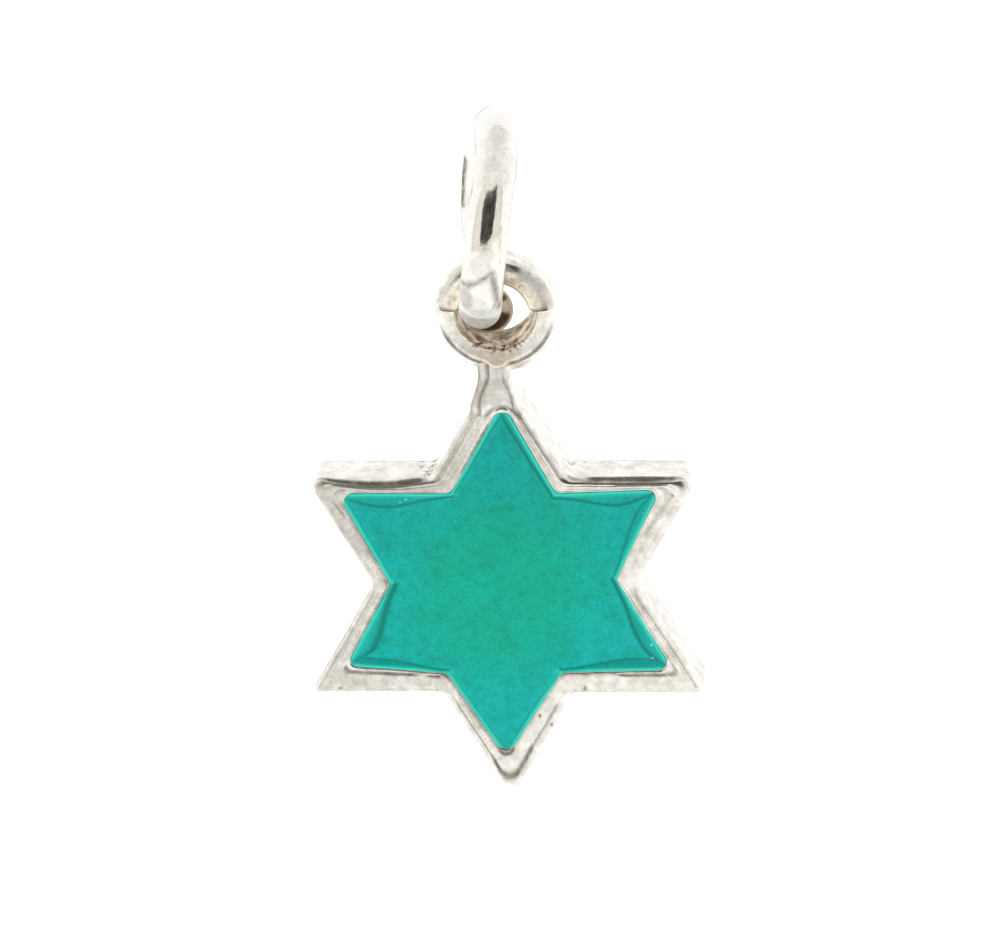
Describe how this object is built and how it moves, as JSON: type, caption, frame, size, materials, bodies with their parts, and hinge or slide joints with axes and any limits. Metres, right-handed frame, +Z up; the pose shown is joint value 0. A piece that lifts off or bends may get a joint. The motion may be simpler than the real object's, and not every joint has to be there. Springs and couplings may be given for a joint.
{
  "type": "star of david pendant",
  "caption": "Small cast silver star of David pendant with a teal enamel front, a short neck and a hanging loop, on a round-wire jump ring for a chain.",
  "frame": {"origin": "inner top of the jump ring, where a chain carries it", "axes": "+Z up as the pendant hangs, the enamelled front faces -Y, +X to the viewer's right"},
  "size_m": [0.0106, 0.006, 0.0194],
  "materials": {
    "silver": "polished cast silver, slightly warm, darker in its crevices",
    "enamel": "glossy opaque teal enamel, faintly mottled, with small bubbles"
  },
  "bodies": {
    "bail": {"jump_ring": "silver"},
    "star": {"star_setting": "silver", "enamel_inlay": "enamel"}
  },
  "joints": [
    {"name": "star_swing", "type": "hinge", "parent": "bail", "child": "star", "pos_m": [-0.00038, 0, -0.00434], "axis": [-0.1041, 0.9945, 0.0091], "range_deg": [-60, 30]}
  ]
}
